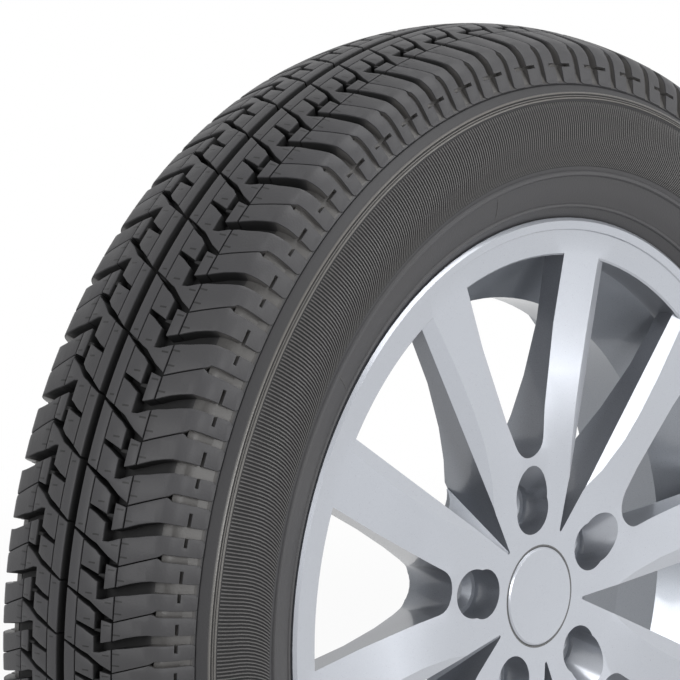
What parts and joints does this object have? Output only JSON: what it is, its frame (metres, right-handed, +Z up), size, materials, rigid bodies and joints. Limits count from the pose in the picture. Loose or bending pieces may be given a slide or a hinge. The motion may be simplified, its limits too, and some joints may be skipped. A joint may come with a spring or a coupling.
{
  "type": "summer tyre on alloy wheel",
  "caption": "Road tyre with block tread, mounted on a cast alloy wheel with paired spokes, centre cap and snap-in valve.",
  "frame": {"origin": "centre of the wheel: on the spin axis, halfway between the two rim flanges", "axes": "+Y along the spin axis towards the car, so the street side faces -Y; +Z up"},
  "size_m": [0.622, 0.145, 0.622],
  "materials": {
    "tyre_rubber": "matt black rubber",
    "silver_lacquer": "cool silver lacquer on cast aluminium",
    "cap_lacquer": "silver lacquer on plastic",
    "spring_wire": "drawn spring wire",
    "valve_rubber": "smooth black rubber",
    "brass": "turned brass",
    "cap_plastic": "moulded black plastic"
  },
  "bodies": {
    "wheel": {"tyre": "tyre_rubber", "wheel": "silver_lacquer", "centre_cap": "cap_lacquer", "cap_spring": "spring_wire", "valve_stem": "valve_rubber", "valve_tube": "brass", "valve_core": "brass"},
    "valve_pin": {"valve_pin": "brass"},
    "valve_cap": {"valve_cap": "cap_plastic"}
  },
  "joints": [
    {"name": "valve_pin_press", "type": "slide", "parent": "wheel", "child": "valve_pin", "axis": [0.0922, 0.7493, -0.6558], "range_m": [0, 0.0012], "stiffness_N_per_m": 400, "springref_m": -0.0005},
    {"name": "valve_cap_off", "type": "slide", "parent": "wheel", "child": "valve_cap", "axis": [-0.0922, -0.7493, 0.6558], "range_m": [0, 0.02]}
  ]
}
